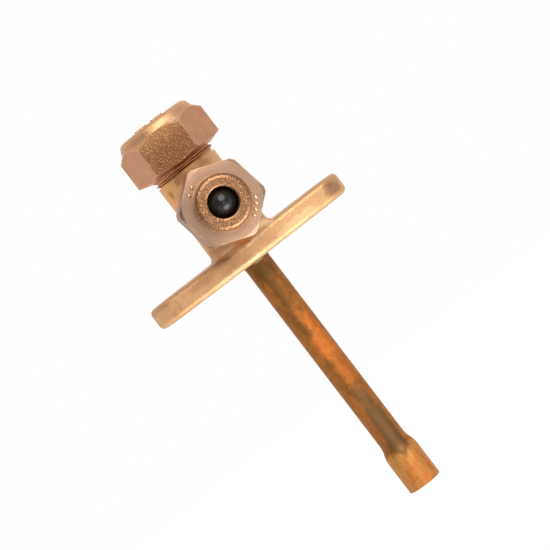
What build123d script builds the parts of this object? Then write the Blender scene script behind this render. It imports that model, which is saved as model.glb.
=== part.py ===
"""Two-way refrigerant service valve for a quarter-inch liquid line.

A forged brass body carries a screw-down stem under a hexagonal cap. The flare port, with its
nut and dust plug, leaves the body to the front, and a brazed copper tube with a belled end
leaves it downwards through the mounting flange.

Frame, in millimetres: the origin is where the stem axis meets the flange's mounting face,
+Z runs along the stem to the cap, the flare port faces -Y and the flange is long in X.
The stem is shut, and the cap and the nut are done up. Screw threads are left as plain turned
diameters: an outside thread at its root, an inside thread just outside its outer diameter.
"""
import os
from math import radians, sqrt, tan

from build123d import *

os.makedirs("parts", exist_ok=True)

# ---- Driving dimensions ------------------------------------------------------------------

# Flange
flange_thickness = 5.0
flange_end_radius = 6.5
flange_middle_rim = 3.1
flange_edge_round = 1.2
screw_spacing = 38.0
screw_hole_diameter = 5.5
screw_hole_chamfer = 0.3

# Neck of the body, with the cap's thread above it
neck_diameter = 15.1
neck_height = 24.9
neck_root_fillet = 1.6
cap_thread_diameter = 15.5
cap_thread_pitch = 1.0
thread_relief_width = 0.5
thread_relief_depth = 0.15
thread_end_chamfer = 0.5

# Flare port: a 45 degree cone on a 7/16-20 thread
port_height = 14.6
port_boss_diameter = 12.4
port_boss_fillet = 1.2
port_boss_chamfer = 0.4
port_bore_diameter = 4.8
port_lip_width = 0.6
flare_thread_diameter = 11.11
flare_thread_pitch = 1.27
flare_thread_length = 8.7

# Inside of the body, from the tube socket up to the mouth
socket_depth = 7.0
seat_bore_diameter = 4.8
seat_width = 0.8
seat_below_port = 4.0
chamber_diameter = 9.2
stem_thread_diameter = 10.0
stem_thread_pitch = 1.0
stem_thread_length = 7.0
seal_bore_diameter = 10.4
mouth_chamfer = 0.4
mouth_rim = 1.4

# Stem, its o-ring and the ring that keeps it in
stem_turns = 4
stem_nose_diameter = 6.2
stem_tip_diameter = 3.0
stem_socket_across_flats = 5.0
stem_socket_depth = 6.0
stem_lower_land = 0.6
stem_upper_land = 0.8
stem_edge_chamfer = 0.3
o_ring_section = 1.5
o_ring_squeeze = 0.3
retaining_ring_thickness = 0.8
retaining_ring_width = 1.25
retaining_ring_gap = 3.0
retaining_groove_depth = 0.6

# Cap and its gasket
cap_across_flats = 19.0
cap_turn = -7.0
cap_height = 11.1
cap_bore_depth = 8.25
cap_bore_chamfer = 0.25
cap_foot_land = 0.1
cap_foot_angle = 18.0
cap_shoulder_width = 1.5
cap_crown_height = 2.1
cap_crown_draft = 20.0
cap_crown_round = 1.6
cap_drill_diameter = 9.2
cap_drill_depth = 1.3
cap_pad_length = 4.4
cap_pad_width = 3.0
cap_pad_height = 0.4
cap_pad_spacing = 4.3
cap_pad_offset = -0.5
cap_pad_corner = 0.5
gasket_thickness = 1.0
gasket_mouth_margin = 0.1
gasket_edge_clearance = 0.3

# Flare nut
nut_across_flats = 17.0
nut_turn = 10.4
nut_throat_length = 3.85
nut_nose_height = 3.0
nut_nose_diameter = 12.6
nut_nose_round = 1.2
nut_hole_diameter = 6.7
nut_hole_round = 0.5
nut_bore_chamfer = 0.5
nut_corner_cut = 0.3
nut_face_chamfer_width = 0.8
nut_chamfer_angle = 30.0

# Dust plug
plug_skirt_thickness = 0.7
plug_skirt_diameter = 9.4
plug_spigot_length = 3.0
plug_dome_recess = 0.3

# Outlet tube and its brazed joint
tube_diameter = 6.35
tube_wall = 0.75
tube_reach = 61.6
tube_edge_chamfer = 0.15
bell_diameter = 8.0
bell_length = 8.1
bell_taper_length = 4.2
braze_leg = 0.7
braze_width = 0.45
braze_hollow = 0.1

# Clearances
thread_clearance = 0.05
seal_clearance = 0.03
land_clearance = 0.1
groove_side_clearance = 0.2
seat_clearance = 0.06
socket_clearance = 0.05
socket_end_clearance = 0.2
plug_clearance = 0.1
spigot_clearance = 0.15
ring_clearance = 0.05
nut_rear_clearance = 0.4
nut_flange_clearance = 0.75

# ---- Sizes that follow -------------------------------------------------------------------

# Depth of a 60 degree thread as a share of its pitch
thread_depth_ratio = 0.6134


def thread_root(diameter, pitch):
    """Root radius of an outside thread."""
    return diameter / 2 - thread_depth_ratio * pitch


def thread_bore(diameter):
    """Radius of the plain bore that stands for an inside thread."""
    return diameter / 2 + thread_clearance


# Bore of the body: each step is placed by the one below it or by the port
seat_bore_radius = seat_bore_diameter / 2
port_bore_radius = port_bore_diameter / 2
seat_top = port_height - seat_below_port
seat_bottom = seat_top - seat_width
chamber_radius = chamber_diameter / 2
chamber_top = port_height + port_bore_radius
stem_thread_bore = thread_bore(stem_thread_diameter)
seal_radius = seal_bore_diameter / 2
seal_bore_bottom = chamber_top + stem_thread_length
seal_bore_lead = seal_radius - stem_thread_bore

# Stem, shut, with its 45 degree nose on the seat
land_bottom = seal_bore_bottom + 2 * seal_bore_lead
land_radius = seal_radius - land_clearance
groove_bottom = land_bottom + stem_lower_land
groove_top = groove_bottom + o_ring_section + 2 * groove_side_clearance
groove_radius = seal_radius - o_ring_section + o_ring_squeeze
stem_top = groove_top + stem_upper_land
stem_travel = stem_turns * stem_thread_pitch
stem_nose_radius = stem_nose_diameter / 2
stem_tip_radius = stem_tip_diameter / 2
nose_offset = seat_bottom - seat_bore_radius + seat_clearance

# Retaining ring, just above the open stem, and the mouth of the body
ring_bottom = stem_top + stem_travel + ring_clearance
ring_groove_top = ring_bottom + retaining_ring_thickness + ring_clearance
ring_groove_radius = seal_radius + retaining_groove_depth
ring_outer_radius = ring_groove_radius - ring_clearance
body_top = ring_groove_top + mouth_rim

# Outside of the body
neck_radius = neck_diameter / 2
flange_middle_radius = neck_radius + flange_middle_rim
cap_thread_root = thread_root(cap_thread_diameter, cap_thread_pitch)
cap_thread_start = neck_height + thread_relief_width

# Cap, on its gasket
gasket_top = body_top + gasket_thickness
cap_bottom = gasket_top - cap_bore_depth
cap_top = cap_bottom + cap_height
cap_shoulder = cap_top - cap_crown_height
cap_bore_radius = thread_bore(cap_thread_diameter)
cap_foot_radius = cap_bore_radius + cap_bore_chamfer + cap_foot_land
cap_corner_radius = cap_across_flats / sqrt(3)
cap_crown_radius = cap_corner_radius - cap_shoulder_width
gasket_inner_radius = seal_radius + mouth_chamfer + gasket_mouth_margin
gasket_outer_radius = cap_bore_radius - gasket_edge_clearance

# Port and nut, as reaches from the stem axis along the port
nut_rear = flange_middle_radius + nut_flange_clearance
port_boss_reach = nut_rear - nut_rear_clearance
flare_thread_root = thread_root(flare_thread_diameter, flare_thread_pitch)
flare_thread_end = port_boss_reach + flare_thread_length
port_lip_radius = port_bore_radius + port_lip_width
port_end = flare_thread_end + flare_thread_root - port_lip_radius

# The plug's skirt lies between the port's 45 degree cone and the nut's. On each cone the
# radius and the reach add up to one value.
port_cone = port_end + port_lip_radius
skirt_inner_cone = port_cone + seal_clearance * sqrt(2)
skirt_outer_cone = skirt_inner_cone + plug_skirt_thickness * sqrt(2)
nut_cone = skirt_outer_cone + seal_clearance * sqrt(2)
nut_bore_radius = thread_bore(flare_thread_diameter)
nut_hole_radius = nut_hole_diameter / 2
nut_front = nut_cone - nut_hole_radius + nut_throat_length
nut_face = nut_front - nut_nose_height
nut_nose_radius = nut_nose_diameter / 2
nut_corner_radius = nut_across_flats / sqrt(3) - nut_corner_cut
nut_ring_radius = nut_corner_radius - nut_face_chamfer_width

# Tube and brazed joint
tube_radius = tube_diameter / 2
tube_top = socket_depth - socket_end_clearance
socket_radius = tube_radius + socket_clearance
bell_radius = bell_diameter / 2
braze_radius = tube_radius + braze_width
braze_depth = braze_radius - socket_radius

# Sections are drawn with the radius first and the height or the reach second
stem_section = Plane.XZ
port_section = Plane(origin=(0, 0, port_height), x_dir=(1, 0, 0), z_dir=(0, 0, -1))
port_axis = Axis((0, 0, port_height), (0, -1, 0))


def turn(points, section=stem_section, axis=Axis.Z, mode=Mode.ADD):
    """Turn a closed outline of (radius, place along the axis) points into the current part."""
    with BuildSketch(section) as outline:
        with BuildLine():
            Polyline(*points, close=True)
        make_face()
    revolve(outline.sketch, axis=axis, mode=mode)


def turn_on_port(points, mode=Mode.ADD):
    """Turn an outline about the port's axis."""
    turn(points, port_section, port_axis, mode)


def across_port(reach):
    """Plane square to the port at a reach from the stem axis, seen from outside."""
    return Plane(origin=(0, -reach, port_height), x_dir=(1, 0, 0), z_dir=(0, -1, 0))


def circles(part, radius, axis, place):
    """Round edges of a radius whose centre lies at a place along an axis."""
    rounds = part.edges().filter_by(GeomType.CIRCLE)
    rounds = rounds.filter_by(lambda edge: abs(edge.radius - radius) < 0.01)
    return rounds.filter_by_position(axis, place - 0.01, place + 0.01)


# ---- Valve body: one forging, turned and drilled -----------------------------------------

with BuildPart() as valve_body:
    # Flange, a hull round its middle and its two ends
    with BuildSketch(Plane.XY):
        Circle(flange_middle_radius)
        with GridLocations(screw_spacing, 0, 2, 1):
            Circle(flange_end_radius)
        make_hull()
    extrude(amount=flange_thickness)
    fillet(valve_body.edges().filter_by(Plane.XY), radius=flange_edge_round)

    # Neck
    with BuildSketch(Plane.XY):
        Circle(neck_radius)
    extrude(amount=neck_height)
    fillet(circles(valve_body, neck_radius, Axis.Z, flange_thickness), radius=neck_root_fillet)

    # Port boss, blended into the neck
    with BuildSketch(across_port(0)):
        Circle(port_boss_diameter / 2)
    extrude(amount=port_boss_reach)
    saddle = valve_body.edges().filter_by(GeomType.BSPLINE)
    fillet(saddle, radius=port_boss_fillet)
    chamfer(circles(valve_body, port_boss_diameter / 2, Axis.Y, -port_boss_reach), length=port_boss_chamfer)

    # Flare thread and cone
    turn_on_port([
        (0, 0),
        (flare_thread_root, 0),
        (flare_thread_root, flare_thread_end),
        (port_lip_radius, port_end),
        (0, port_end),
    ])

    # Relief and cap thread
    turn([
        (0, 0),
        (cap_thread_root - thread_relief_depth, 0),
        (cap_thread_root - thread_relief_depth, cap_thread_start - thread_relief_depth),
        (cap_thread_root, cap_thread_start),
        (cap_thread_root, body_top - thread_end_chamfer),
        (cap_thread_root - thread_end_chamfer, body_top),
        (0, body_top),
    ])

    # Stepped bore: tube socket, seat, chamber, stem thread, seal bore, ring groove and mouth
    turn([
        (0, 0),
        (socket_radius, 0),
        (socket_radius, socket_depth),
        (seat_bore_radius, socket_depth),
        (seat_bore_radius, seat_bottom),
        (seat_bore_radius + seat_width, seat_top),
        (chamber_radius, seat_top),
        (chamber_radius, chamber_top),
        (stem_thread_bore, chamber_top),
        (stem_thread_bore, seal_bore_bottom),
        (seal_radius, seal_bore_bottom + seal_bore_lead),
        (seal_radius, ring_bottom - ring_clearance),
        (ring_groove_radius, ring_bottom - ring_clearance),
        (ring_groove_radius, ring_groove_top),
        (seal_radius, ring_groove_top),
        (seal_radius, body_top - mouth_chamfer),
        (seal_radius + mouth_chamfer, body_top),
        (0, body_top),
    ], mode=Mode.SUBTRACT)

    # Countersink that the braze fills
    turn([(0, 0), (braze_radius, 0), (socket_radius, braze_depth), (0, braze_depth)], mode=Mode.SUBTRACT)

    # Port bore into the chamber
    turn_on_port([
        (0, 0),
        (port_bore_radius, 0),
        (port_bore_radius, port_end),
        (0, port_end),
    ], mode=Mode.SUBTRACT)

    # Screw holes
    with GridLocations(screw_spacing, 0, 2, 1):
        Hole(screw_hole_diameter / 2)
    for height in (0, flange_thickness):
        chamfer(circles(valve_body, screw_hole_diameter / 2, Axis.Z, height), length=screw_hole_chamfer)

valve_body.part.label = "valve_body"
export_step(valve_body.part, "parts/valve_body.step")


# ---- Stem with its o-ring and retaining ring ---------------------------------------------

stem_thread_root = thread_root(stem_thread_diameter, stem_thread_pitch)

with BuildPart() as valve_stem:
    turn([
        (0, nose_offset + stem_tip_radius),
        (stem_tip_radius, nose_offset + stem_tip_radius),
        (stem_nose_radius, nose_offset + stem_nose_radius),
        (stem_nose_radius, chamber_top),
        (stem_thread_root - stem_edge_chamfer, chamber_top),
        (stem_thread_root, chamber_top + stem_edge_chamfer),
        (stem_thread_root, land_bottom),
        (land_radius, land_bottom),
        (land_radius, groove_bottom),
        (groove_radius, groove_bottom),
        (groove_radius, groove_top),
        (land_radius, groove_top),
        (land_radius, stem_top - stem_edge_chamfer),
        (land_radius - stem_edge_chamfer, stem_top),
        (0, stem_top),
    ])

    # Hexagonal key socket with a drilled bottom
    socket_corner = stem_socket_across_flats / sqrt(3)
    with BuildSketch(Plane.XY.offset(stem_top)):
        RegularPolygon(stem_socket_across_flats / 2, 6, major_radius=False)
    extrude(amount=-stem_socket_depth, mode=Mode.SUBTRACT)
    socket_floor = stem_top - stem_socket_depth
    turn([
        (0, socket_floor),
        (stem_socket_across_flats / 2, socket_floor),
        (0, socket_floor - stem_socket_across_flats / 2 * tan(radians(30))),
    ], mode=Mode.SUBTRACT)
    turn([
        (0, stem_top),
        (socket_corner, stem_top),
        (0, stem_top - socket_corner),
    ], mode=Mode.SUBTRACT)

valve_stem.part.label = "valve_stem"
export_step(valve_stem.part, "parts/valve_stem.step")

with BuildPart() as stem_o_ring:
    inner = groove_radius + seal_clearance
    outer = seal_radius - seal_clearance
    with BuildSketch(stem_section):
        with Locations(((inner + outer) / 2, (groove_bottom + groove_top) / 2)):
            Ellipse((outer - inner) / 2, o_ring_section / 2)
    revolve(axis=Axis.Z)

stem_o_ring.part.label = "stem_o_ring"
export_step(stem_o_ring.part, "parts/stem_o_ring.step")

with BuildPart() as retaining_ring:
    with BuildSketch(Plane.XY.offset(ring_bottom)):
        Circle(ring_outer_radius)
        Circle(ring_outer_radius - retaining_ring_width, mode=Mode.SUBTRACT)
        with Locations((0, ring_outer_radius)):
            Rectangle(retaining_ring_gap, 2 * ring_outer_radius, mode=Mode.SUBTRACT)
    extrude(amount=retaining_ring_thickness)

retaining_ring.part.label = "retaining_ring"
export_step(retaining_ring.part, "parts/retaining_ring.step")


# ---- Cap and gasket ----------------------------------------------------------------------

with BuildPart() as stem_cap:
    # Hexagon, then the turned outline that leaves its chamfered foot, shoulder and crown
    with BuildSketch(Plane.XY.offset(cap_bottom)):
        RegularPolygon(cap_across_flats / 2, 6, major_radius=False, rotation=cap_turn)
    extrude(amount=cap_height)
    foot_rise = (cap_corner_radius - cap_foot_radius) * tan(radians(cap_foot_angle))
    crown_inset = cap_crown_height * tan(radians(cap_crown_draft))
    turn([
        (0, cap_bottom),
        (cap_foot_radius, cap_bottom),
        (cap_corner_radius, cap_bottom + foot_rise),
        (cap_corner_radius, cap_shoulder - cap_corner_radius + cap_crown_radius),
        (cap_crown_radius, cap_shoulder),
        (cap_crown_radius - crown_inset, cap_top),
        (0, cap_top),
    ], mode=Mode.INTERSECT)
    fillet(circles(stem_cap, cap_crown_radius - crown_inset, Axis.Z, cap_top), radius=cap_crown_round)

    # Two plain raised pads on the crown, a little off its middle
    with BuildSketch(Plane.XY.offset(cap_top).rotated((0, 0, cap_turn))):
        with Locations((cap_pad_offset, 0)):
            with GridLocations(cap_pad_spacing, 0, 2, 1):
                RectangleRounded(cap_pad_width, cap_pad_length, cap_pad_corner)
    extrude(amount=cap_pad_height)

    # Threaded bore with a drilled end
    turn([
        (0, cap_bottom),
        (cap_bore_radius + cap_bore_chamfer, cap_bottom),
        (cap_bore_radius, cap_bottom + cap_bore_chamfer),
        (cap_bore_radius, gasket_top),
        (cap_drill_diameter / 2, gasket_top),
        (0, gasket_top + cap_drill_depth),
    ], mode=Mode.SUBTRACT)

stem_cap.part.label = "stem_cap"
export_step(stem_cap.part, "parts/stem_cap.step")

with BuildPart() as cap_gasket:
    with BuildSketch(Plane.XY.offset(body_top)):
        Circle(gasket_outer_radius)
        Circle(gasket_inner_radius, mode=Mode.SUBTRACT)
    extrude(amount=gasket_thickness)

cap_gasket.part.label = "cap_gasket"
export_step(cap_gasket.part, "parts/cap_gasket.step")


# ---- Flare nut and dust plug -------------------------------------------------------------

with BuildPart() as flare_nut:
    # Hexagon with its corners turned off and both its ends chamfered
    with BuildSketch(across_port(nut_rear)):
        RegularPolygon(nut_across_flats / 2, 6, major_radius=False, rotation=30 + nut_turn)
    extrude(amount=nut_face - nut_rear)
    corner_drop = (nut_corner_radius - nut_ring_radius) * tan(radians(nut_chamfer_angle))
    turn_on_port([
        (0, nut_rear),
        (nut_ring_radius, nut_rear),
        (nut_corner_radius, nut_rear + corner_drop),
        (nut_corner_radius, nut_face - corner_drop),
        (nut_ring_radius, nut_face),
        (0, nut_face),
    ], mode=Mode.INTERSECT)

    # Round nose
    with BuildSketch(across_port(nut_face)):
        Circle(nut_nose_radius)
    extrude(amount=nut_nose_height)
    fillet(circles(flare_nut, nut_nose_radius, Axis.Y, -nut_front), radius=nut_nose_round)

    # Threaded bore, 45 degree cone and throat
    turn_on_port([
        (0, nut_rear),
        (nut_bore_radius + nut_bore_chamfer, nut_rear),
        (nut_bore_radius, nut_rear + nut_bore_chamfer),
        (nut_bore_radius, nut_cone - nut_bore_radius),
        (nut_hole_radius, nut_cone - nut_hole_radius),
        (nut_hole_radius, nut_front),
        (0, nut_front),
    ], mode=Mode.SUBTRACT)
    fillet(circles(flare_nut, nut_hole_radius, Axis.Y, -nut_front), radius=nut_hole_round)

flare_nut.part.label = "flare_nut"
export_step(flare_nut.part, "parts/flare_nut.step")

with BuildPart() as port_plug:
    spigot_radius = port_bore_radius - spigot_clearance
    dome_radius = nut_hole_radius - plug_clearance
    dome_start = nut_front - plug_dome_recess - dome_radius
    skirt_radius = plug_skirt_diameter / 2
    with BuildSketch(port_section):
        with BuildLine():
            Polyline(
                (0, port_end - plug_spigot_length),
                (spigot_radius, port_end - plug_spigot_length),
                (spigot_radius, skirt_inner_cone - port_lip_radius),
                (port_lip_radius, skirt_inner_cone - port_lip_radius),
                (skirt_radius, skirt_inner_cone - skirt_radius),
                (skirt_radius, skirt_outer_cone - skirt_radius),
                (dome_radius, skirt_outer_cone - dome_radius),
                (dome_radius, dome_start),
            )
            TangentArc((dome_radius, dome_start), (0, dome_start + dome_radius), tangent=(0, 1))
            Line((0, dome_start + dome_radius), (0, port_end - plug_spigot_length))
        make_face()
    revolve(axis=port_axis)

port_plug.part.label = "port_plug"
export_step(port_plug.part, "parts/port_plug.step")


# ---- Outlet tube and brazed joint --------------------------------------------------------

with BuildPart() as outlet_tube:
    taper_start = bell_length + bell_taper_length - tube_reach
    taper_end = bell_length - tube_reach
    for narrow, wide, mode in (
        (tube_radius, bell_radius, Mode.ADD),
        (tube_radius - tube_wall, bell_radius - tube_wall, Mode.SUBTRACT),
    ):
        # The bell opens on two equal arcs, one turning outwards and one turning back
        middle = ((narrow + wide) / 2, (taper_start + taper_end) / 2)
        with BuildSketch(stem_section):
            with BuildLine():
                Line((0, tube_top), (narrow, tube_top))
                Line((narrow, tube_top), (narrow, taper_start))
                outward = TangentArc((narrow, taper_start), middle, tangent=(0, -1))
                TangentArc(middle, (wide, taper_end), tangent=outward % 1)
                Line((wide, taper_end), (wide, -tube_reach))
                Line((wide, -tube_reach), (0, -tube_reach))
                Line((0, -tube_reach), (0, tube_top))
            make_face()
        revolve(axis=Axis.Z, mode=mode)
    end_edges = outlet_tube.edges().filter_by(GeomType.CIRCLE)
    end_edges = end_edges.filter_by_position(Axis.Z, -tube_reach - 0.01, -tube_reach + 0.01)
    chamfer(end_edges, length=tube_edge_chamfer)

outlet_tube.part.label = "outlet_tube"
export_step(outlet_tube.part, "parts/outlet_tube.step")

with BuildPart() as braze_ring:
    with BuildSketch(stem_section):
        with BuildLine():
            Polyline(
                (tube_radius, -braze_leg),
                (tube_radius, braze_depth),
                (socket_radius, braze_depth),
                (braze_radius, 0),
            )
            SagittaArc((braze_radius, 0), (tube_radius, -braze_leg), -braze_hollow)
        make_face()
    revolve(axis=Axis.Z)

braze_ring.part.label = "braze_ring"
export_step(braze_ring.part, "parts/braze_ring.step")
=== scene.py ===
"""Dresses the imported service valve: finishes, screw threads, raised pips, light and camera."""
import math

import bpy
from mathutils import Matrix, Vector


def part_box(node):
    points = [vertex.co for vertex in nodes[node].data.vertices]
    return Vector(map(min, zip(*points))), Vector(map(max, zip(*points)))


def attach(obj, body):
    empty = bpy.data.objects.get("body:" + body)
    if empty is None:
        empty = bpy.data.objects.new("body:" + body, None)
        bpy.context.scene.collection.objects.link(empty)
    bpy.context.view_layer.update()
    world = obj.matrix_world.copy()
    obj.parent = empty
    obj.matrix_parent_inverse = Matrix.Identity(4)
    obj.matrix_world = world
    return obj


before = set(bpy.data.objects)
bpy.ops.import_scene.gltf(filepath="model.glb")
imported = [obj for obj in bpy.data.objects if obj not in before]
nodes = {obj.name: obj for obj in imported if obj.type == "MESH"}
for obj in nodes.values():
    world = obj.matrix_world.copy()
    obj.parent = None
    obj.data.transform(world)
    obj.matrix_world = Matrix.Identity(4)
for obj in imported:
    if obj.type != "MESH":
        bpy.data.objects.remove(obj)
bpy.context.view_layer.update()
MM = 0.001
X, Y, Z = range(3)


# ---- Sizes, in millimetres ------------------------------------------------------------------

def corners(node):
    """Lowest and highest corner of a solid, in millimetres."""
    low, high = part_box(node)
    return Vector(low) / MM, Vector(high) / MM


body_low, body_high = corners("valve_body")
cap_low, cap_high = corners("stem_cap")
nut_low, nut_high = corners("flare_nut")
tube_low = corners("outlet_tube")[0]

neck_height = 24.9
body_top = body_high.z
gasket_thickness = 1.0
cap_seat = body_top + gasket_thickness
cap_pad_height = 0.4
bell_length = 8.1
bell_top = tube_low.z + bell_length

# Along the flare port, which points to -Y, distances count from the stem's axis
port_height = (nut_low.z + nut_high.z) / 2
port_end = -body_low.y
nut_rear, nut_front = -nut_high.y, -nut_low.y
nut_nose_height, nut_nose_radius = 3.0, 6.45
nut_face = nut_front - nut_nose_height
pip_radius, pip_height = 0.46, 0.3

onto_stem = Matrix.Scale(MM, 4)
onto_port = (Matrix.Translation(Vector((0, 0, port_height)) * MM)
             @ Matrix.Rotation(math.radians(90), 4, "X") @ onto_stem)

# Each screw: where its axis lies, its pitch and its outer radius
cap_screw = (onto_stem, 1.0, 7.75)
flare_screw = (onto_port, 1.27, 5.555)
stem_screw = (onto_stem, 1.0, 5.0)

# Start and end of each thread along its axis
cap_thread_span = (neck_height + 0.2, body_top - 0.45)
cap_inside_span = (cap_low.z + 0.6, cap_seat - 1.6)
flare_thread_span = (nut_rear - 0.15, port_end - 2.1)
nut_inside_span = (nut_rear + 0.9, nut_rear + 8.2)
stem_thread_span = (17.4, 24.0)
body_inside_span = (17.6, 23.6)

# Ridge of a thread: its depth and its width at the foot and the crest, as shares of the pitch,
# how far its foot sinks into the solid, and how far an inside ridge stays off the groove's bottom
thread_depth_share = 0.6134
outside_width_shares, inside_width_shares = (0.92, 0.25), (0.8, 0.12)
ridge_sink = 0.2
ridge_clearance = 0.05
ridge_points_per_turn = 72
ridge_end_scale = 0.02


# ---- Camera ---------------------------------------------------------------------------------

def make_camera():
    """Long lens nearly square to the flare port, rolled so that the stem leans to the left."""
    aim = Vector((1.44, 0.0, -5.2)) * MM
    distance, view_width = 650 * MM, 120.6 * MM
    azimuth, elevation, roll = (math.radians(angle) for angle in (-4.7, 2.3, 37.35))
    back = Vector((
        math.sin(azimuth) * math.cos(elevation),
        -math.cos(azimuth) * math.cos(elevation),
        math.sin(elevation),
    ))
    level = Vector((0, 0, 1)).cross(back).normalized()
    upright = back.cross(level)
    right = level * math.cos(roll) - upright * math.sin(roll)
    up = level * math.sin(roll) + upright * math.cos(roll)
    data = bpy.data.cameras.new("camera")
    data.sensor_width = 36.0
    data.lens = data.sensor_width * distance / view_width
    data.clip_start, data.clip_end = 0.01, 50.0
    camera = bpy.data.objects.new("camera", data)
    bpy.context.scene.collection.objects.link(camera)
    turn = Matrix((right, up, back)).transposed().to_4x4()
    camera.matrix_world = Matrix.Translation(aim + back * distance) @ turn
    bpy.context.scene.camera = camera


# ---- Building node trees --------------------------------------------------------------------

def put(tree, kind, inputs=None, **settings):
    """Add a node. Each input takes a plain value or the socket that drives it."""
    node = tree.nodes.new(kind)
    for name, value in settings.items():
        setattr(node, name, value)
    for name, value in (inputs or {}).items():
        if isinstance(value, bpy.types.NodeSocket):
            tree.links.new(value, node.inputs[name])
        else:
            node.inputs[name].default_value = value
    return node


def maths(tree, operation, first, second=0.0):
    """One sum on two values or sockets."""
    return put(tree, "ShaderNodeMath", {0: first, 1: second}, operation=operation).outputs[0]


def vector_maths(tree, operation, inputs, output=0):
    """One sum on vectors."""
    return put(tree, "ShaderNodeVectorMath", inputs, operation=operation).outputs[output]


def noise(tree, inputs, dimensions="3D"):
    """Value of a noise texture."""
    return put(tree, "ShaderNodeTexNoise", inputs, noise_dimensions=dimensions).outputs["Fac"]


def fade(tree, value, start, end):
    """Smooth mask that goes from 0 to 1 while the value goes from start to end, up or down."""
    return put(
        tree, "ShaderNodeMapRange", {"Value": value, "From Min": start, "From Max": end},
        interpolation_type="SMOOTHSTEP",
    ).outputs["Result"]


def blend(tree, mask, low, high):
    """A value that goes from low to high with the mask."""
    return put(
        tree, "ShaderNodeMapRange", {"Value": mask, "To Min": low, "To Max": high},
    ).outputs["Result"]


def place_in_mm(tree):
    """The piece's own coordinates, in millimetres."""
    place = put(tree, "ShaderNodeTexCoord").outputs["Object"]
    return vector_maths(tree, "SCALE", {0: place, "Scale": 1 / MM})


def along(tree, axis):
    """Place along one axis of the piece, in millimetres."""
    return put(tree, "ShaderNodeSeparateXYZ", {0: place_in_mm(tree)}).outputs[axis]


def facing(tree, direction, start, end):
    """Mask of the faces that look along a direction of the piece itself."""
    normal = put(tree, "ShaderNodeTexCoord").outputs["Normal"]
    return fade(tree, vector_maths(tree, "DOT_PRODUCT", {0: normal, 1: direction}, "Value"), start, end)


# ---- Effects that several finishes share ----------------------------------------------------

def new_group(name, inputs, outputs):
    """Shader group with named sockets: inputs are (name, kind, value) and outputs are names."""
    kinds = {"value": "NodeSocketFloat", "vector": "NodeSocketVector"}
    tree = bpy.data.node_groups.new(name, "ShaderNodeTree")
    for socket, kind, value in inputs:
        tree.interface.new_socket(socket, in_out="INPUT", socket_type=kinds[kind]).default_value = value
    for socket in outputs:
        tree.interface.new_socket(socket, in_out="OUTPUT", socket_type=kinds["value"])
    given = tree.nodes.new("NodeGroupInput").outputs
    result = tree.nodes.new("NodeGroupOutput").inputs
    return tree, given, result


def make_patches():
    """Soft-edged blotches, as of uneven oxide or colour."""
    tree, given, result = new_group(
        "patches",
        [("Size", "value", 4.0), ("Cover", "value", 0.5), ("Softness", "value", 0.1), ("Seed", "value", 0.0)],
        ["Mask"],
    )
    threshold_at_no_cover, threshold_drop = 0.72, 0.44
    level = noise(tree, {
        "Vector": place_in_mm(tree), "W": given["Seed"], "Scale": maths(tree, "DIVIDE", 1.0, given["Size"]),
        "Detail": 4.0, "Roughness": 0.6,
    }, dimensions="4D")
    drop = maths(tree, "MULTIPLY", given["Cover"], threshold_drop)
    middle = maths(tree, "SUBTRACT", threshold_at_no_cover, drop)
    start = maths(tree, "SUBTRACT", middle, given["Softness"])
    end = maths(tree, "ADD", middle, given["Softness"])
    tree.links.new(fade(tree, level, start, end), result["Mask"])
    return tree


def make_spot():
    """One ragged spot round a centre, such as a stain or a scorch."""
    tree, given, result = new_group(
        "spot",
        [("Centre", "vector", (0, 0, 0)), ("Reach", "vector", (1, 1, 1)), ("Ragged", "value", 0.4),
         ("Grain", "value", 1.5)],
        ["Mask"],
    )
    raggedness, rim, heart = 3.0, 1.0, 0.45
    place = place_in_mm(tree)
    offset = vector_maths(tree, "SUBTRACT", {0: place, 1: given["Centre"]})
    scaled = vector_maths(tree, "DIVIDE", {0: offset, 1: given["Reach"]})
    far = vector_maths(tree, "LENGTH", {0: scaled}, "Value")
    level = noise(tree, {
        "Vector": place, "Scale": maths(tree, "DIVIDE", 1.0, given["Grain"]), "Detail": 3.0, "Roughness": 0.6,
    })
    shift = maths(tree, "MULTIPLY", maths(tree, "SUBTRACT", level, 0.5), given["Ragged"])
    edge = maths(tree, "ADD", far, maths(tree, "MULTIPLY", shift, raggedness))
    tree.links.new(fade(tree, edge, rim, heart), result["Mask"])
    return tree


def make_grain():
    """Sandy skin of a forging: fine bumps with small dents, and flecks where the bumps catch light."""
    tree, given, result = new_group(
        "forged grain",
        [("Size", "value", 0.35), ("Dents", "value", 0.5)],
        ["Height", "Flecks"],
    )
    dent_scale, dent_reach = 0.6, 0.6
    fleck_start, fleck_full = 0.46, 0.62
    place = place_in_mm(tree)
    scale = maths(tree, "DIVIDE", 1.0, given["Size"])
    bumps = noise(tree, {"Vector": place, "Scale": scale, "Detail": 3.0, "Roughness": 0.6})
    cells = put(tree, "ShaderNodeTexVoronoi", {
        "Vector": place, "Scale": maths(tree, "MULTIPLY", scale, dent_scale),
    }).outputs["Distance"]
    dents = maths(tree, "MULTIPLY", fade(tree, cells, 0.0, dent_reach), given["Dents"])
    tree.links.new(maths(tree, "ADD", bumps, dents), result["Height"])
    tree.links.new(fade(tree, bumps, fleck_start, fleck_full), result["Flecks"])
    return tree


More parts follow.
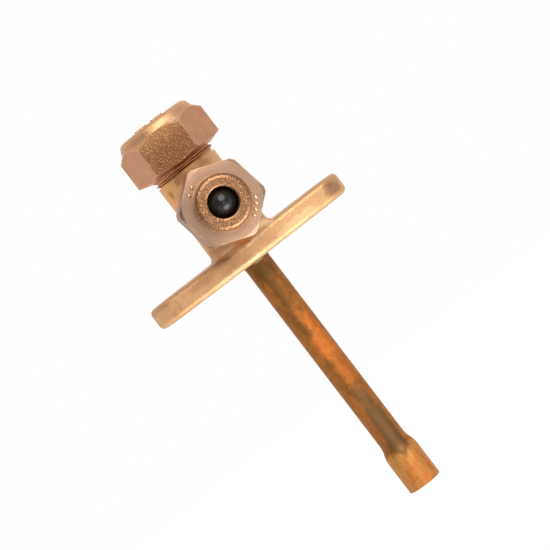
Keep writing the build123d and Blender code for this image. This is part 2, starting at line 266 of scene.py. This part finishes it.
def make_turned_marks():
    """Fine rings that a lathe tool leaves round the Z axis of the place that is given."""
    tree, given, result = new_group(
        "turned marks",
        [("Place", "vector", (0, 0, 0)), ("Spacing", "value", 0.12)],
        ["Height"],
    )
    part = put(tree, "ShaderNodeSeparateXYZ", {0: given["Place"]}).outputs
    squares = [maths(tree, "MULTIPLY", part[axis], part[axis]) for axis in (X, Y)]
    radius = maths(tree, "SQRT", maths(tree, "ADD", *squares))
    profile = put(tree, "ShaderNodeCombineXYZ", {0: radius, 1: part[Z]}).outputs[0]
    rings = noise(tree, {
        "Vector": profile, "Scale": maths(tree, "DIVIDE", 1.0, given["Spacing"]), "Detail": 2.0,
    }, dimensions="2D")
    tree.links.new(rings, result["Height"])
    return tree


def make_worn_edges():
    """Mask of the sharp edges, where handling rubs the metal bright."""
    tree, given, result = new_group(
        "worn edges",
        [("Width", "value", 0.25), ("Broken", "value", 0.5)],
        ["Mask"],
    )
    bend_start, bend_full = 0.004, 0.07
    gap_start, gap_full = 0.62, 0.4
    rounded = put(tree, "ShaderNodeBevel", {"Radius": maths(tree, "MULTIPLY", given["Width"], MM)}, samples=4)
    flat = put(tree, "ShaderNodeNewGeometry").outputs["Normal"]
    same = vector_maths(tree, "DOT_PRODUCT", {0: rounded.outputs[0], 1: flat}, "Value")
    edge = fade(tree, maths(tree, "SUBTRACT", 1.0, same), bend_start, bend_full)
    level = noise(tree, {"Vector": place_in_mm(tree), "Scale": 0.9, "Detail": 3.0})
    gaps = maths(tree, "MULTIPLY", fade(tree, level, gap_start, gap_full), given["Broken"])
    tree.links.new(maths(tree, "MULTIPLY", edge, maths(tree, "SUBTRACT", 1.0, gaps)), result["Mask"])
    return tree


patches = make_patches()
spot = make_spot()
grain = make_grain()
turned_marks = make_turned_marks()
worn_edges = make_worn_edges()


def use(tree, group, output, **inputs):
    """Place a group in a material and give back one of its outputs."""
    inputs = {name.replace("_", " "): value for name, value in inputs.items()}
    return put(tree, "ShaderNodeGroup", inputs, node_tree=group).outputs[output]


# ---- Building a finish ----------------------------------------------------------------------

def new_finish(name, metallic=1.0):
    """Material with an empty tree round its own Principled shader."""
    material = bpy.data.materials.new(name)
    material.use_nodes = True
    tree = material.node_tree
    shader = tree.nodes["Principled BSDF"]
    shader.inputs["Metallic"].default_value = metallic
    return material, tree, shader


def tint(tree, under, mask, over, strength=1.0):
    """Lay one colour over another where the mask is 1."""
    amount = maths(tree, "MULTIPLY", mask, strength) if strength != 1.0 else mask
    node = put(tree, "ShaderNodeMix", {0: amount}, data_type="RGBA")
    for index, value in ((6, under), (7, over)):
        if isinstance(value, bpy.types.NodeSocket):
            tree.links.new(value, node.inputs[index])
        else:
            node.inputs[index].default_value = (*value, 1)
    return node.outputs[2]


def stain(tree, color, tone, strength, **shape):
    """Lay one ragged spot of a tone over a colour."""
    return tint(tree, color, use(tree, spot, "Mask", **shape), tone, strength)


def bump(tree, height, depth):
    """Normal of a relief whose height runs from 0 to 1 over a depth in millimetres."""
    return put(tree, "ShaderNodeBump", {"Height": height, "Strength": 1.0, "Distance": depth * MM}).outputs[0]


def finish_with(tree, shader, color, roughness, normal=None):
    """Drive the shader's own sockets."""
    tree.links.new(color, shader.inputs["Base Color"])
    tree.links.new(roughness, shader.inputs["Roughness"])
    if normal:
        tree.links.new(normal, shader.inputs["Normal"])


# ---- Finishes of the metal pieces -----------------------------------------------------------

def forged_body_brass():
    """Golden brass, fine forged skin; painted light on the right side, under the nut and along the flange's
    lower rim; browner under the cap, stained at its foot and on the flange.
    """
    material, tree, shader = new_finish("forged brass, body")
    golden, pale, cream = (0.60, 0.315, 0.15), (0.76, 0.465, 0.235), (0.86, 0.58, 0.32)
    brown, red_brown, flange_shade = (0.25, 0.10, 0.035), (0.34, 0.155, 0.085), (0.33, 0.165, 0.07)
    bright, warm = (1.0, 0.70, 0.41), (0.86, 0.42, 0.16)
    across, height = along(tree, X), along(tree, Z)
    right_side, left_side = fade(tree, across, 1.0, 11.0), fade(tree, across, 1.0, -6.0)
    neck, flange = fade(tree, height, 7.0, 9.0), fade(tree, height, 6.5, 5.0)
    pale_patches = use(tree, patches, "Mask", Size=9.0, Cover=0.5, Softness=0.14, Seed=1.0)
    color = tint(tree, golden, pale_patches, pale, 0.45)
    # Painted light: paler towards the right side
    color = tint(tree, color, right_side, pale, 0.55)
    brown_patches = use(tree, patches, "Mask", Size=1.3, Cover=0.4, Softness=0.16, Seed=4.0)
    color = tint(tree, color, brown_patches, brown, 0.08)
    color = tint(tree, color, flange, flange_shade, 0.25)
    color = tint(tree, color, maths(tree, "MULTIPLY", neck, left_side), warm, 0.45)
    for centre, reach, ragged, tone, strength in (
        # Neck: under the cap and on its left side
        ((0.3, -7.5, neck_height - 0.4), (7.0, 3.5, 2.6), 0.5, brown, 0.55),
        ((-6.3, -4.1, 22.4), (0.6, 1.4, 1.3), 0.2, brown, 0.55),
        # Foot of the port, under the nut: a brown stain on the left, then painted light that lightens the
        # shaded nook between the nut and the flange
        ((-6.8, -9.5, 4.5), (3.6, 3.5, 1.3), 0.5, brown, 0.35),
        ((0.4, -9.0, 5.5), (7.6, 6.5, 2.3), 0.2, bright, 1.0),
        ((6.0, -8.0, 5.6), (3.3, 6.5, 1.5), 0.2, bright, 0.9),
        # Flange: left half, reddish brown right end, left end, and the rim towards the tube
        ((-13.0, -8.0, 3.3), (6.5, 3.5, 1.2), 0.6, brown, 0.28),
        ((21.7, -5.5, 2.7), (1.8, 4.5, 2.1), 0.4, red_brown, 0.65),
        ((23.0, -4.0, 2.4), (1.8, 4.5, 2.1), 0.4, red_brown, 0.65),
        ((-19.8, -6.5, 2.5), (0.8, 4.5, 2.6), 0.4, brown, 0.2),
        ((-23.5, -4.0, 2.4), (3.2, 4.5, 3.0), 0.3, pale, 0.6),
        # Painted highlight: cream along the rounded rim towards the tube, where the lamp below catches it
        ((13.0, -8.5, 1.6), (9.0, 3.0, 1.3), 0.4, cream, 0.45),
        ((0.0, -10.5, 0.5), (24.0, 4.5, 1.2), 0.5, cream, 0.4),
    ):
        color = stain(tree, color, tone, strength, Centre=centre, Reach=reach, Ragged=ragged)
    edges = use(tree, worn_edges, "Mask", Width=0.3, Broken=0.6)
    color = tint(tree, color, edges, pale, 0.4)
    specks = use(tree, patches, "Mask", Size=0.4, Cover=0.14, Softness=0.05, Seed=9.0)
    color = tint(tree, color, specks, brown, 0.2)
    flecks = use(tree, grain, "Flecks", Size=0.3)
    color = tint(tree, color, flecks, cream, 0.07)
    roughness = blend(tree, flecks, 0.56, 0.46)
    skin = use(tree, grain, "Height", Size=0.5, Dents=0.5)
    finish_with(tree, shader, color, roughness, bump(tree, skin, 0.02))
    return material


def thread_brass():
    """Brass of the cut threads, browner than the forged skin."""
    material, tree, shader = new_finish("cut brass, threads")
    brown, golden = (0.36, 0.15, 0.05), (0.50, 0.24, 0.09)
    color = tint(tree, brown, use(tree, patches, "Mask", Size=2.0, Cover=0.5, Seed=2.0), golden)
    roughness = blend(tree, use(tree, patches, "Mask", Size=0.8, Cover=0.5, Seed=3.0), 0.28, 0.4)
    finish_with(tree, shader, color, roughness)
    return material


def cap_brass():
    """Pinkish brass with smooth sawn flats; the front flat and the crown keep a rough, golden skin."""
    material, tree, shader = new_finish("cap brass")
    pink, pale_pink, bright = (0.52, 0.245, 0.13), (0.62, 0.33, 0.18), (0.90, 0.58, 0.33)
    gold, gold_flecks, gold_mottle = (0.235, 0.10, 0.038), (0.36, 0.175, 0.085), (0.31, 0.145, 0.062)
    lit_gold_above = (0.50, 0.24, 0.10)
    crown_gold, crown_flecks, crown_right = (0.60, 0.31, 0.155), (0.78, 0.47, 0.26), (0.72, 0.42, 0.24)
    pad_tone, glint = (0.80, 0.50, 0.30), (0.95, 0.66, 0.42)
    height = along(tree, Z)
    pad_foot = cap_high.z - cap_pad_height
    flat_turn = math.radians(-7.0)
    rough_flat = facing(tree, (math.sin(flat_turn), -math.cos(flat_turn), 0.0), 0.84, 0.92)
    crown = facing(tree, (0.0, 0.0, 1.0), 0.15, 0.45)
    crown_right_side = fade(tree, along(tree, X), 1.0, 8.0)
    lit_towards_top = fade(tree, height, cap_low.z + 4.5, cap_low.z + 9.0)
    pads = fade(tree, height, pad_foot + 0.01, pad_foot + 0.13)
    flecks = use(tree, grain, "Flecks", Size=0.26)
    mottle = use(tree, patches, "Mask", Size=3.0, Cover=0.5, Softness=0.16, Seed=5.0)
    color = tint(tree, pink, mottle, pale_pink, 0.5)
    rough_tone = tint(tree, gold, flecks, gold_flecks)
    rough_tone = tint(tree, rough_tone, mottle, gold_mottle, 0.5)
    # Painted light: the rough flat turns lighter gold towards the top, below the lit crown
    rough_tone = tint(tree, rough_tone, lit_towards_top, lit_gold_above, 0.5)
    color = tint(tree, color, rough_flat, rough_tone)
    crown_tone = tint(tree, crown_gold, flecks, crown_flecks)
    crown_tone = tint(tree, crown_tone, crown_right_side, crown_right, 0.6)
    color = tint(tree, color, crown, crown_tone, 0.75)
    color = tint(tree, color, pads, pad_tone, 0.55)
    edges = use(tree, worn_edges, "Mask", Width=0.35, Broken=0.5)
    color = tint(tree, color, edges, bright, 0.45)
    color = stain(tree, color, glint, 0.7, Centre=(3.8, -9.4, cap_high.z - 2.8), Reach=(2.2, 1.0, 0.5),
                  Ragged=0.3, Grain=0.6)
    # The flats are smooth; the crown's grain is calmer than the rough flat's
    rough_place = maths(tree, "MAXIMUM", rough_flat, crown)
    roughness = maths(tree, "ADD", blend(tree, rough_place, 0.46, 0.38), maths(tree, "MULTIPLY", crown, 0.1))
    crown_calm = maths(tree, "MULTIPLY", crown, 0.45)
    relief = maths(tree, "SUBTRACT", blend(tree, rough_place, 0.12, 1.0), crown_calm)
    skin = maths(tree, "MULTIPLY", use(tree, grain, "Height", Size=0.3, Dents=0.8), relief)
    finish_with(tree, shader, color, roughness, bump(tree, skin, 0.05))
    return material


def nut_brass():
    """Matt, greyish pink flats and face, with a tan granular nose."""
    material, tree, shader = new_finish("nut brass")
    grey_pink, mottled_pink, bright = (0.42, 0.26, 0.165), (0.46, 0.28, 0.18), (0.86, 0.56, 0.33)
    dark_side, brown_flat = (0.20, 0.125, 0.085), (0.33, 0.165, 0.09)
    tan, tan_flecks, lit_nose_side = (0.26, 0.12, 0.052), (0.40, 0.21, 0.115), (0.70, 0.44, 0.26)
    foot_tan, foot_flecks = (0.44, 0.24, 0.13), (0.80, 0.50, 0.30)
    across = along(tree, X)
    left_side, right_side = fade(tree, across, -2.5, -7.5), fade(tree, across, 2.5, 7.5)
    towards_end = maths(tree, "MULTIPLY", along(tree, Y), -1.0)
    nose = fade(tree, towards_end, nut_face + 0.02, nut_face + 0.5)
    nose_foot_reach = nut_nose_radius + 0.45
    sides = facing(tree, (0.0, -1.0, 0.0), 0.6, 0.2)
    mottle = use(tree, patches, "Mask", Size=3.2, Cover=0.5, Softness=0.18, Seed=7.0)
    flecks = use(tree, grain, "Flecks", Size=0.26)
    color = tint(tree, grey_pink, mottle, mottled_pink, 0.6)
    color = tint(tree, color, left_side, dark_side, 0.68)
    color = tint(tree, color, right_side, dark_side, 0.5)
    color = tint(tree, color, sides, brown_flat, 0.7)
    # The tan skin spreads round the nose's foot and is painted lighter there, as painted light against the
    # shade at the foot
    color = stain(tree, color, tint(tree, foot_tan, flecks, foot_flecks), 0.75,
                  Centre=(0.0, -nut_face, port_height), Reach=(nose_foot_reach, 1.2, nose_foot_reach),
                  Ragged=0.12, Grain=0.5)
    color = tint(tree, color, nose, tint(tree, tan, flecks, tan_flecks))
    # Painted light: the nose's sides are lightened against their shade
    color = tint(tree, color, maths(tree, "MULTIPLY", nose, sides), lit_nose_side, 0.7)
    edges = use(tree, worn_edges, "Mask", Width=0.4, Broken=0.7)
    color = tint(tree, color, edges, bright, 0.5)
    roughness = blend(tree, nose, 0.5, 0.32)
    relief = blend(tree, nose, 0.15, 1.0)
    skin = maths(tree, "MULTIPLY", use(tree, grain, "Height", Size=0.32, Dents=0.7), relief)
    finish_with(tree, shader, color, roughness, bump(tree, skin, 0.06))
    return material


def rubbed_pip_brass():
    """Raised pips, whose tops handling keeps brighter than their sides."""
    material, tree, shader = new_finish("rubbed brass, pips")
    tan, bright = (0.46, 0.27, 0.15), (0.66, 0.45, 0.28)
    color = tint(tree, tan, use(tree, patches, "Mask", Size=0.5, Cover=0.5, Seed=17.0), bright)
    roughness = blend(tree, facing(tree, (0.0, -1.0, 0.0), 0.3, 0.9), 0.5, 0.4)
    finish_with(tree, shader, color, roughness)
    return material


def heated_copper():
    """Drawn copper tube: olive where it was brazed, flame-orange patches below, bright at the bell, with
    painted shade down the middle of its front.
    """
    material, tree, shader = new_finish("heated copper")
    brown, mottled_brown, orange, rust = (
        (0.34, 0.127, 0.031), (0.43, 0.165, 0.042), (0.78, 0.215, 0.04), (0.42, 0.12, 0.025))
    olive, dark_olive, grey_olive = (0.105, 0.068, 0.02), (0.10, 0.055, 0.018), (0.135, 0.078, 0.033)
    painted_shade_brown, pink_brown, dull_brown = (0.17, 0.07, 0.02), (0.42, 0.145, 0.06), (0.14, 0.065, 0.02)
    bell_bright, bell_olive, bell_brown, bell_streaks, bell_flame = (
        (0.56, 0.25, 0.072), (0.15, 0.08, 0.033), (0.36, 0.125, 0.03), (0.50, 0.135, 0.024),
        (0.56, 0.135, 0.02))
    across, height = along(tree, X), along(tree, Z)
    mottle = use(tree, patches, "Mask", Size=4.5, Cover=0.5, Softness=0.12, Seed=11.0)
    fine = use(tree, patches, "Mask", Size=1.1, Cover=0.45, Softness=0.1, Seed=12.0)
    color = tint(tree, brown, mottle, mottled_brown)
    for centre, reach, ragged, coarse, tone, strength in (
        # Darker down the middle of the front: the upper one partly the tube's own olive and partly painted
        # shade, the long one painted shade over the round tube's lit stripe
        ((-0.3, -3.1, -7.0), (1.3, 2.0, 8.0), 0.35, 1.5, dark_olive, 0.6),
        ((-0.2, -3.1, -24.0), (2.0, 2.0, 34.0), 0.3, 3.0, painted_shade_brown, 0.62),
        # Patches where the flame played
        ((0.8, -3.0, -25.0), (2.4, 3.4, 13.0), 0.8, 2.2, orange, 0.25),
        ((1.5, -2.7, -18.5), (1.6, 2.6, 4.6), 0.5, 1.4, orange, 0.42),
        ((0.3, -3.0, -24.0), (2.7, 2.8, 4.4), 0.6, 1.4, orange, 0.32),
        ((0.9, -2.9, -31.0), (1.6, 2.4, 5.0), 0.8, 1.6, rust, 0.35),
        # Greyer tongue that ends above the bell
        ((0.4, -3.0, -46.0), (2.4, 3.0, 13.0), 0.3, 2.0, grey_olive, 0.85),
    ):
        color = stain(tree, color, tone, strength, Centre=centre, Reach=reach, Ragged=ragged, Grain=coarse)
    # Near the braze
    uneven_height = maths(tree, "ADD", height, maths(tree, "MULTIPLY", fine, 1.5))
    near_joint = fade(tree, uneven_height, -6.0, -1.5)
    middle_band = fade(tree, maths(tree, "ABSOLUTE", across), 3.0, 1.6)
    color = tint(tree, color, maths(tree, "MULTIPLY", near_joint, middle_band), olive, 0.7)
    color = tint(tree, color, near_joint, olive, 0.25)
    color = stain(tree, color, pink_brown, 0.6, Centre=(2.0, -2.4, -1.2), Reach=(1.5, 2.0, 0.9),
                  Ragged=0.7, Grain=0.8)
    # The bell, which the flame left bright, with olive tongues running down from the tube
    uneven_height = maths(tree, "ADD", height, maths(tree, "MULTIPLY", fine, 0.8))
    bell = fade(tree, uneven_height, bell_top + 2.5, bell_top + 1.2)
    color = tint(tree, color, bell, bell_bright)
    for side, rise in ((-1.3, 3.7), (0.1, 2.0), (1.3, 3.5)):
        color = stain(tree, color, bell_olive, 0.8, Centre=(side, -4.0, bell_top + rise),
                      Reach=(1.3, 2.5, 3.6), Ragged=0.2, Grain=1.0)
    # Browner middle of the bell's front: partly an olive-brown tongue, partly painted shade over the taper's
    # highlight
    middle = use(tree, spot, "Mask", Centre=(-0.2, -4.4, tube_low.z + 3.0), Reach=(1.7, 1.5, 7.0),
                 Ragged=0.3, Grain=2.0)
    color = tint(tree, color, maths(tree, "MULTIPLY", middle, bell), bell_brown, 0.5)
    stretched = put(tree, "ShaderNodeMapping", {"Vector": place_in_mm(tree), "Scale": (1.0, 1.0, 0.12)})
    streaks = noise(tree, {"Vector": stretched.outputs[0], "Scale": 1.1, "Detail": 3.0})
    bell_streak_mask = maths(tree, "MULTIPLY", bell, fade(tree, streaks, 0.5, 0.64))
    color = tint(tree, color, bell_streak_mask, bell_streaks, 0.35)
    for centre, reach in (
        ((1.2, -4.2, -60.3), (1.3, 1.5, 1.6)),
        ((-1.9, -3.8, -57.8), (0.9, 1.5, 2.4)),
        ((3.0, -3.0, -58.5), (0.9, 1.8, 1.8)),
    ):
        color = stain(tree, color, bell_flame, 0.55, Centre=centre, Reach=reach, Ragged=0.6, Grain=1.4)
    color = tint(tree, color, fine, dull_brown, 0.2)
    roughness = blend(tree, mottle, 0.52, 0.62)
    drawn = use(tree, patches, "Mask", Size=0.9, Cover=0.5, Softness=0.2, Seed=13.0)
    finish_with(tree, shader, color, roughness, bump(tree, drawn, 0.012))
    return material


def braze_alloy():
    """Brazing alloy: dark coppery brown round the tube, dull green where flux gathered in front."""
    material, tree, shader = new_finish("braze alloy")
    brown, copper, green = (0.10, 0.055, 0.02), (0.22, 0.08, 0.035), (0.19, 0.185, 0.10)
    lumps = use(tree, patches, "Mask", Size=0.8, Cover=0.5, Softness=0.25, Seed=16.0)
    color = tint(tree, brown, lumps, copper)
    flux = use(tree, spot, "Mask", Centre=(0.7, -3.6, -0.3), Reach=(1.7, 1.5, 1.2), Ragged=0.3, Grain=0.8)
    color = tint(tree, color, flux, green, 0.8)
    roughness = blend(tree, flux, 0.5, 0.65)
    finish_with(tree, shader, color, roughness, bump(tree, lumps, 0.05))
    return material


def turned_metal(name, tone, ring_spacing):
    """Machined metal with lathe rings about the stem's axis."""
    material, tree, shader = new_finish(name)
    rings = use(tree, turned_marks, "Height", Place=place_in_mm(tree), Spacing=ring_spacing)
    darker = tuple(0.8 * part for part in tone)
    color = tint(tree, tone, rings, darker)
    roughness = blend(tree, rings, 0.24, 0.4)
    finish_with(tree, shader, color, roughness, bump(tree, rings, 0.01))
    return material


# ---- Finishes of the soft pieces ------------------------------------------------------------

def moulded(name, tone, gloss, seed):
    """Moulded plastic or rubber with a faint unevenness."""
    material, tree, shader = new_finish(name, metallic=0.0)
    shader.inputs["IOR"].default_value = 1.38
    film = use(tree, patches, "Mask", Size=1.8, Cover=0.5, Softness=0.2, Seed=seed)
    lighter = tuple(min(1.0, 1.25 * part + 0.002) for part in tone)
    color = tint(tree, tone, film, lighter)
    roughness = blend(tree, film, gloss, gloss + 0.08)
    finish_with(tree, shader, color, roughness, bump(tree, film, 0.01))
    return material


finishes = {
    "valve_body": forged_body_brass(),
    "valve_stem": turned_metal("stem brass", tone=(0.72, 0.50, 0.26), ring_spacing=0.14),
    "retaining_ring": turned_metal("spring steel", tone=(0.42, 0.42, 0.44), ring_spacing=0.3),
    "stem_o_ring": moulded("seal rubber", tone=(0.02, 0.02, 0.021), gloss=0.55, seed=20.0),
    "stem_cap": cap_brass(),
    "cap_gasket": moulded("gasket plastic", tone=(0.72, 0.70, 0.64), gloss=0.45, seed=21.0),
    "flare_nut": nut_brass(),
    "port_plug": moulded("plug plastic", tone=(0.0085, 0.0075, 0.0065), gloss=0.2, seed=22.0),
    "outlet_tube": heated_copper(),
    "braze_ring": braze_alloy(),
}
cut_brass = thread_brass()
pip_brass = rubbed_pip_brass()
for name, finish in finishes.items():
    nodes[name].data.materials.clear()
    nodes[name].data.materials.append(finish)


# ---- Growing pieces from Geometry Nodes -----------------------------------------------------

def new_shape_tree(name, inputs):
    """Geometry tree with named inputs (name, kind), one material and one geometry output."""
    tree = bpy.data.node_groups.new(name, "GeometryNodeTree")
    for socket, kind in (*inputs, ("Material", "Material")):
        tree.interface.new_socket(socket, in_out="INPUT", socket_type="NodeSocket" + kind)
    tree.interface.new_socket("Geometry", in_out="OUTPUT", socket_type="NodeSocketGeometry")
    return tree, tree.nodes.new("NodeGroupInput").outputs


def end_shape_tree(tree, given, shape):
    """Make the shape real, give it its material and lead it out."""
    real = put(tree, "GeometryNodeRealizeInstances", {0: shape.outputs[0]})
    made = put(tree, "GeometryNodeSetMaterial", {"Geometry": real.outputs[0], "Material": given["Material"]})
    tree.links.new(made.outputs[0], tree.nodes.new("NodeGroupOutput").inputs[0])


def grow(name, tree, values, placing, body):
    """Run a geometry tree once, keep its mesh as a piece, put it in place and let it ride."""
    carrier = bpy.data.objects.new(name, bpy.data.meshes.new(name))
    bpy.context.scene.collection.objects.link(carrier)
    modifier = carrier.modifiers.new("shape", "NODES")
    modifier.node_group = tree
    sockets = {item.name: item.identifier for item in tree.interface.items_tree if item.in_out == "INPUT"}
    for socket, value in values.items():
        modifier[sockets[socket]] = value
    depsgraph = bpy.context.evaluated_depsgraph_get()
    mesh = bpy.data.meshes.new_from_object(carrier.evaluated_get(depsgraph))
    carrier.modifiers.remove(modifier)
    carrier.data = mesh
    mesh.transform(placing)
    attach(carrier, body)


# ---- Screw threads --------------------------------------------------------------------------

def make_ridge_tree():
    """Helical ridge along Z, which fades in and out over its first and last half turn."""
    tree, given = new_shape_tree("screw ridge", (
        ("Turns", "Float"), ("Pitch", "Float"), ("Base Radius", "Float"), ("Depth", "Float"),
        ("Base Width", "Float"), ("Crest Width", "Float"), ("Points Per Turn", "Int"),
    ))
    helix = put(tree, "GeometryNodeCurveSpiral", {
        "Resolution": given["Points Per Turn"], "Rotations": given["Turns"],
        "Start Radius": given["Base Radius"], "End Radius": given["Base Radius"],
        "Height": maths(tree, "MULTIPLY", given["Turns"], given["Pitch"]), "Reverse": True,
    })
    level = put(tree, "GeometryNodeSetCurveNormal", {"Curve": helix.outputs[0]}, mode="Z_UP")
    outline = put(tree, "GeometryNodeCurvePrimitiveQuadrilateral", {
        "Height": given["Depth"], "Bottom Width": given["Base Width"], "Top Width": given["Crest Width"],
        "Offset": 0.0,
    }, mode="TRAPEZOID")
    rise = put(tree, "ShaderNodeCombineXYZ", {1: maths(tree, "MULTIPLY", given["Depth"], 0.5)})
    lifted = put(tree, "GeometryNodeTransform", {0: outline.outputs[0], "Translation": rise.outputs[0]})
    outward = put(tree, "GeometryNodeTransform", {
        0: lifted.outputs[0], "Rotation": (0, 0, math.radians(-90)),
    })
    length = put(tree, "GeometryNodeSplineParameter").outputs["Factor"]
    from_end = maths(tree, "MINIMUM", length, maths(tree, "SUBTRACT", 1.0, length))
    half_turns = maths(tree, "MULTIPLY", maths(tree, "MULTIPLY", from_end, given["Turns"]), 2.0)
    full = maths(tree, "MAXIMUM", maths(tree, "MINIMUM", half_turns, 1.0), ridge_end_scale)
    ridge = put(tree, "GeometryNodeCurveToMesh", {
        "Curve": level.outputs[0], "Profile Curve": outward.outputs[0], "Scale": full, "Fill Caps": True,
    })
    end_shape_tree(tree, given, ridge)
    return tree


ridge_tree = make_ridge_tree()


def screw_thread(name, body, screw, span, inside=False):
    """Ridge of a right-hand thread along its span.

    Every ridge of a screw lies on one helix wherever it starts. An inside thread's ridge lies half
    a pitch on, so that it runs in the groove of the outside one, and it points inwards.
    """
    placing, pitch, outer_radius = screw
    start, end = span
    depth = thread_depth_share * pitch
    foot_share, crest_share = inside_width_shares if inside else outside_width_shares
    turns_to_start = start / pitch + (0.5 if inside else 0.0)
    grow(name, ridge_tree, {
        "Turns": (end - start) / pitch, "Pitch": pitch,
        "Base Radius": outer_radius + ridge_sink if inside else outer_radius - depth - ridge_sink,
        "Depth": ridge_clearance - depth - ridge_sink if inside else depth + ridge_sink,
        "Base Width": foot_share * pitch, "Crest Width": crest_share * pitch,
        "Points Per Turn": ridge_points_per_turn, "Material": cut_brass,
    }, placing @ Matrix.Translation((0, 0, start)) @ Matrix.Rotation(2 * math.pi * turns_to_start, 4, "Z"),
        body)


screw_thread("cap_thread", "valve", cap_screw, cap_thread_span)
screw_thread("cap_inside_thread", "cap", cap_screw, cap_inside_span, inside=True)
screw_thread("flare_thread", "valve", flare_screw, flare_thread_span)
screw_thread("nut_inside_thread", "nut", flare_screw, nut_inside_span, inside=True)
screw_thread("stem_thread", "stem", stem_screw, stem_thread_span)
screw_thread("body_inside_thread", "valve", stem_screw, body_inside_span, inside=True)


# ---- Raised pips on the nut -----------------------------------------------------------------

def make_pip_tree():
    """Low round pips at equal steps along an arc about Z."""
    tree, given = new_shape_tree("raised pips", (
        ("Count", "Int"), ("Arc Radius", "Float"), ("First Angle", "Float"), ("Step", "Float"),
        ("Pip Radius", "Float"), ("Pip Height", "Float"),
    ))
    line = put(tree, "GeometryNodeMeshLine", {"Count": given["Count"]})
    index = put(tree, "GeometryNodeInputIndex").outputs[0]
    angle = maths(tree, "ADD", maths(tree, "MULTIPLY", index, given["Step"]), given["First Angle"])
    on_arc = put(tree, "ShaderNodeCombineXYZ", {
        0: maths(tree, "MULTIPLY", given["Arc Radius"], maths(tree, "COSINE", angle)),
        1: maths(tree, "MULTIPLY", given["Arc Radius"], maths(tree, "SINE", angle)),
    })
    placed = put(tree, "GeometryNodeSetPosition", {0: line.outputs[0], "Position": on_arc.outputs[0]})
    ball = put(tree, "GeometryNodeMeshUVSphere", {"Segments": 16, "Rings": 10, "Radius": 1.0})
    size = put(tree, "ShaderNodeCombineXYZ", {
        0: given["Pip Radius"], 1: given["Pip Radius"], 2: given["Pip Height"],
    })
    pips = put(tree, "GeometryNodeInstanceOnPoints", {
        "Points": placed.outputs[0], "Instance": ball.outputs["Mesh"], "Scale": size.outputs[0],
    })
    end_shape_tree(tree, given, pips)
    return tree


pip_tree = make_pip_tree()
for name, count, arc_radius, first_degrees, step_degrees in (
    ("nut_pips_low", 4, 7.15, -58.0, 10.3),
    ("nut_pips_high", 2, 7.2, 117.0, 14.0),
):
    grow(name, pip_tree, {
        "Count": count, "Arc Radius": arc_radius,
        "First Angle": math.radians(first_degrees), "Step": math.radians(step_degrees),
        "Pip Radius": pip_radius, "Pip Height": pip_height, "Material": pip_brass,
    }, onto_port @ Matrix.Translation((0, 0, nut_face)), "nut")


# ---- Light and surroundings -----------------------------------------------------------------

def make_world():
    """Studio with a white backdrop behind the valve and a dimmer room behind the camera."""
    world = bpy.data.worlds.new("studio")
    bpy.context.scene.world = world
    world.use_nodes = True
    tree = world.node_tree
    tree.nodes.clear()
    direction = put(tree, "ShaderNodeTexCoord").outputs["Generated"]
    depth = put(tree, "ShaderNodeSeparateXYZ", {0: direction}).outputs[Y]
    level = put(tree, "ShaderNodeMapRange", {
        "Value": depth, "From Min": -0.6, "From Max": 0.5, "To Min": 0.34, "To Max": 1.0,
    }).outputs["Result"]
    seen = put(tree, "ShaderNodeLightPath").outputs["Is Camera Ray"]
    strength = maths(tree, "MAXIMUM", level, seen)
    light = put(tree, "ShaderNodeBackground", {"Color": (1, 1, 1, 1), "Strength": strength})
    put(tree, "ShaderNodeOutputWorld", {"Surface": light.outputs[0]})


def make_floor(drop, radius):
    """Wide pale floor, whose unshaded part is as white as the backdrop. Sizes are in metres."""
    mesh = bpy.data.meshes.new("floor")
    angles = [math.radians(angle) for angle in range(0, 360, 5)]
    ring = [(radius * math.cos(angle), radius * math.sin(angle), drop) for angle in angles]
    mesh.from_pydata(ring, [], [tuple(range(len(ring)))])
    floor = bpy.data.objects.new("floor", mesh)
    bpy.context.scene.collection.objects.link(floor)
    material, tree, shader = new_finish("pale floor", metallic=0.0)
    shader.inputs["Base Color"].default_value = (0.85, 0.85, 0.85, 1)
    shader.inputs["Roughness"].default_value = 0.9
    shader.inputs["Emission Color"].default_value = (1, 1, 1, 1)
    path = put(tree, "ShaderNodeLightPath").outputs
    reflected = maths(tree, "MAXIMUM", path["Is Glossy Ray"], path["Is Transmission Ray"])
    seen = maths(tree, "MAXIMUM", path["Is Camera Ray"], reflected)
    tree.links.new(maths(tree, "MULTIPLY", seen, 0.45), shader.inputs["Emission Strength"])
    floor.data.materials.append(material)


def softbox(name, direction, distance, size, watts):
    """Round area lamp aimed at the middle of the valve. Sizes are in metres."""
    data = bpy.data.lights.new(name, "AREA")
    data.shape = "DISK"
    data.size = size
    data.energy = watts
    lamp = bpy.data.objects.new(name, data)
    bpy.context.scene.collection.objects.link(lamp)
    towards = Vector(direction).normalized()
    lamp.location = towards * distance
    lamp.rotation_mode = "QUATERNION"
    lamp.rotation_quaternion = towards.to_track_quat("Z", "Y")


make_camera()
make_world()
make_floor(drop=-0.7, radius=8.0)
softbox("cap_side_lamp", (0.20, -0.76, 0.60), distance=0.8, size=0.7, watts=6.5)
softbox("tube_side_lamp", (0.08, -0.715, -0.682), distance=0.8, size=0.6, watts=5.5)

bpy.context.scene.view_settings.view_transform = "Standard"
